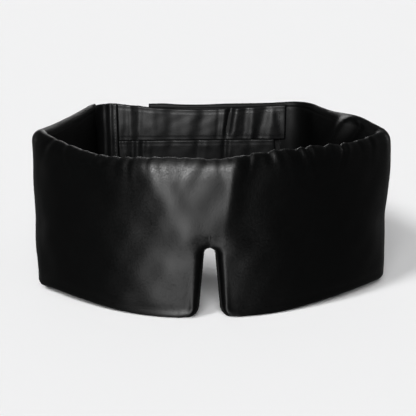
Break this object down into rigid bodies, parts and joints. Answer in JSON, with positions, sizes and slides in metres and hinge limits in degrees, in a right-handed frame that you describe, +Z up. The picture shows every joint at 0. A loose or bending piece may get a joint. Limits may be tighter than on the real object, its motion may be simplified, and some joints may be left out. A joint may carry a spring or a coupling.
{
  "type": "sleep eye mask",
  "caption": "Extra-deep padded satin sleep mask with a nose notch, folded round as worn, with wide wings and twin elastic straps gripping a rear tab.",
  "frame": {"origin": "middle of the footprint, on the surface that the lower edge stands on", "axes": "+X to the wearer's left, which is the viewer's right when facing the front; +Y from the front panel towards the back of the head; +Z up"},
  "size_m": [0.25, 0.1582, 0.11],
  "materials": {
    "outer_satin": "black satin weave, soft sheen",
    "lining_satin": "smooth black satin lining",
    "padding": "white polyester wadding",
    "binding": "turned satin edge with a stitched seam",
    "strap_satin": "black satin sleeve, gathered",
    "elastic": "woven elastic",
    "hook": "hook tape",
    "loop": "brushed loop pile",
    "stiffener": "woven interlining",
    "thread": "polyester thread"
  },
  "bodies": {
    "front": {"front_outer_panel": "outer_satin", "front_lining": "lining_satin", "front_padding": "padding", "notch_binding": "binding"},
    "left_wing": {"left_wing_outer_panel": "outer_satin", "left_wing_lining": "lining_satin", "left_wing_padding": "padding"},
    "right_wing": {"right_wing_outer_panel": "outer_satin", "right_wing_lining": "lining_satin", "right_wing_padding": "padding"},
    "yoke": {"strap_yoke": "strap_satin", "yoke_stitching": "thread"},
    "upper_strap": {"upper_strap_casing": "strap_satin", "upper_strap_elastic": "elastic", "upper_hook_patch": "hook", "upper_hook_stitching": "thread"},
    "lower_strap": {"lower_strap_casing": "strap_satin", "lower_strap_elastic": "elastic", "lower_hook_patch": "hook", "lower_hook_stitching": "thread"},
    "tab_root": {"tab_root": "strap_satin"},
    "tab": {"tab_casing": "strap_satin", "tab_stiffener": "stiffener", "loop_panel": "loop", "loop_stitching": "thread"}
  },
  "joints": [
    {"name": "right_wing_fold", "type": "hinge", "parent": "front", "child": "right_wing", "pos_m": [-0.12506, -0.02469, 0.055], "axis": [0, 0, 1], "range_deg": [0, 60]},
    {"name": "left_wing_fold", "type": "hinge", "parent": "front", "child": "left_wing", "pos_m": [0.12506, -0.02469, 0.055], "axis": [0, 0, -1], "range_deg": [0, 60]},
    {"name": "yoke_fold", "type": "hinge", "parent": "right_wing", "child": "yoke", "pos_m": [-0.08001, 0.07107, 0.08], "axis": [0, 0, -1], "range_deg": [0, 60]},
    {"name": "tab_root_fold", "type": "hinge", "parent": "left_wing", "child": "tab_root", "pos_m": [0.08001, 0.07107, 0.08], "axis": [0, 0, 1], "range_deg": [0, 60]},
    {"name": "upper_strap_peel", "type": "hinge", "parent": "yoke", "child": "upper_strap", "pos_m": [-0.0665, 0.07107, 0.095], "axis": [0, 0, -1], "range_deg": [0, 45]},
    {"name": "lower_strap_peel", "type": "hinge", "parent": "yoke", "child": "lower_strap", "pos_m": [-0.0665, 0.07107, 0.0658], "axis": [0, 0, -1], "range_deg": [0, 45]},
    {"name": "tab_peel", "type": "hinge", "parent": "tab_root", "child": "tab", "pos_m": [0.0665, 0.07907, 0.08025], "axis": [0, 0, -1], "range_deg": [0, 70]}
  ],
  "couplings": [
    {"joint": "left_wing_fold", "follows": "right_wing_fold", "ratio": 1},
    {"joint": "yoke_fold", "follows": "right_wing_fold", "ratio": 1},
    {"joint": "tab_root_fold", "follows": "right_wing_fold", "ratio": 1}
  ]
}
